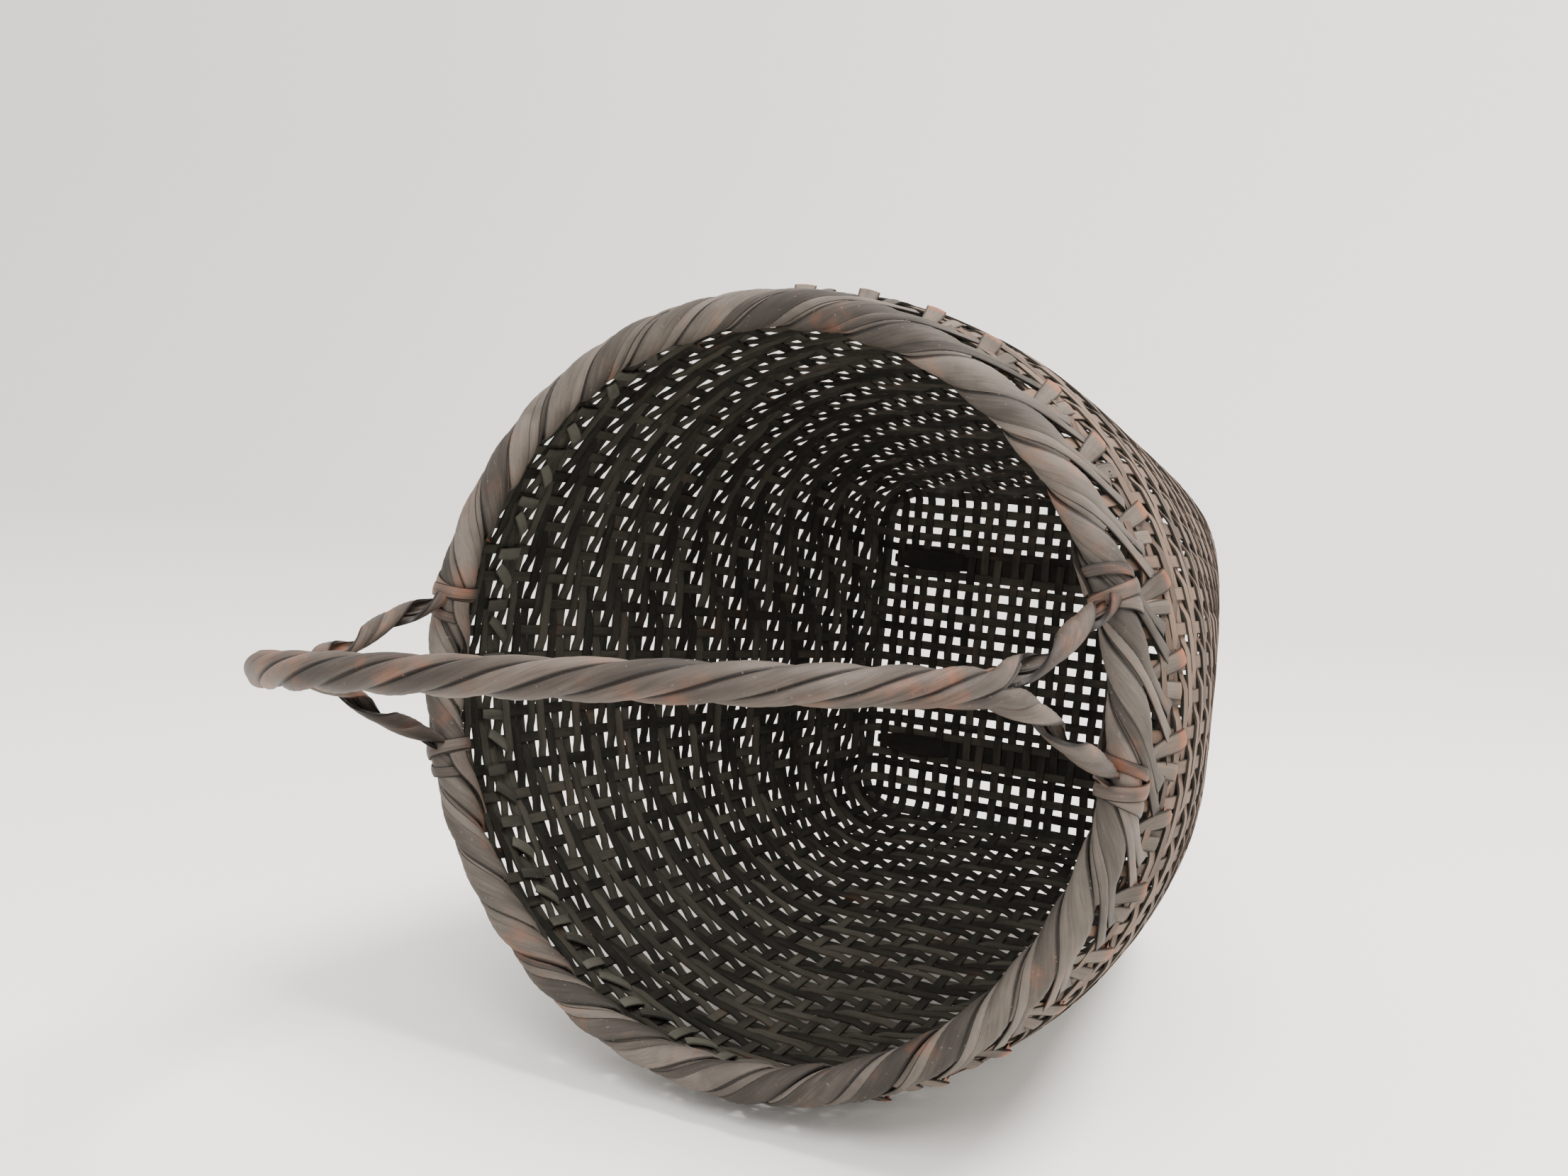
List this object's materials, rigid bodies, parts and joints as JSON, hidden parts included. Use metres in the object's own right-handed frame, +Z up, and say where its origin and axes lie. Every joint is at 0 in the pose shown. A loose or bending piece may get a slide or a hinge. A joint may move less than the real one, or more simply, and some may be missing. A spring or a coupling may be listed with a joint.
{
  "type": "splint gathering basket",
  "caption": "Deep round-mouthed, square-based basket of twill-woven split bamboo, with a bound rope-like rim and a tall twisted bail handle fixed by four legs.",
  "frame": {"origin": "middle of the underside, on the surface the basket stands on", "axes": "+Z up out of the mouth; the sides of the square base along X and Y; the handle's plane is close to the XZ plane, turned 6 degrees from it, and its top leans 2.8 degrees to -Y"},
  "size_m": [0.3802, 0.3802, 0.5938],
  "materials": {
    "base_splint": "aged, matte",
    "wall_splint": "aged, matte",
    "rim_splint": "aged, matte",
    "handle_splint": "aged, matte"
  },
  "bodies": {
    "root": {"base_runner_front": "base_splint", "base_runner_back": "base_splint", "base_strips_across": "base_splint", "base_strips_along": "base_splint", "stakes_right": "wall_splint", "stakes_back": "wall_splint", "stakes_left": "wall_splint", "stakes_front": "wall_splint", "wall_courses_01": "wall_splint", "wall_courses_02": "wall_splint", "wall_courses_03": "wall_splint", "wall_courses_04": "wall_splint", "wall_courses_05": "wall_splint", "wall_courses_06": "wall_splint", "wall_courses_07": "wall_splint", "wall_courses_08": "wall_splint", "wall_courses_09": "wall_splint", "wall_courses_10": "wall_splint", "wall_courses_11": "wall_splint", "wall_courses_12": "wall_splint", "wall_courses_13": "wall_splint", "rim_core": "rim_splint", "rim_wraps_right": "rim_splint", "rim_wraps_back": "rim_splint", "rim_wraps_left": "rim_splint", "rim_wraps_front": "rim_splint", "rim_tails_falling": "rim_splint", "rim_tails_rising": "rim_splint", "rim_tabs_inside": "rim_splint", "handle_strand_front_inner": "handle_splint", "handle_strand_front_outer": "handle_splint", "handle_strand_back_inner": "handle_splint", "handle_strand_back_outer": "handle_splint", "handle_loop_right_back": "handle_splint", "handle_loop_right_front": "handle_splint", "handle_loop_left_front": "handle_splint", "handle_loop_left_back": "handle_splint"}
  },
  "joints": []
}
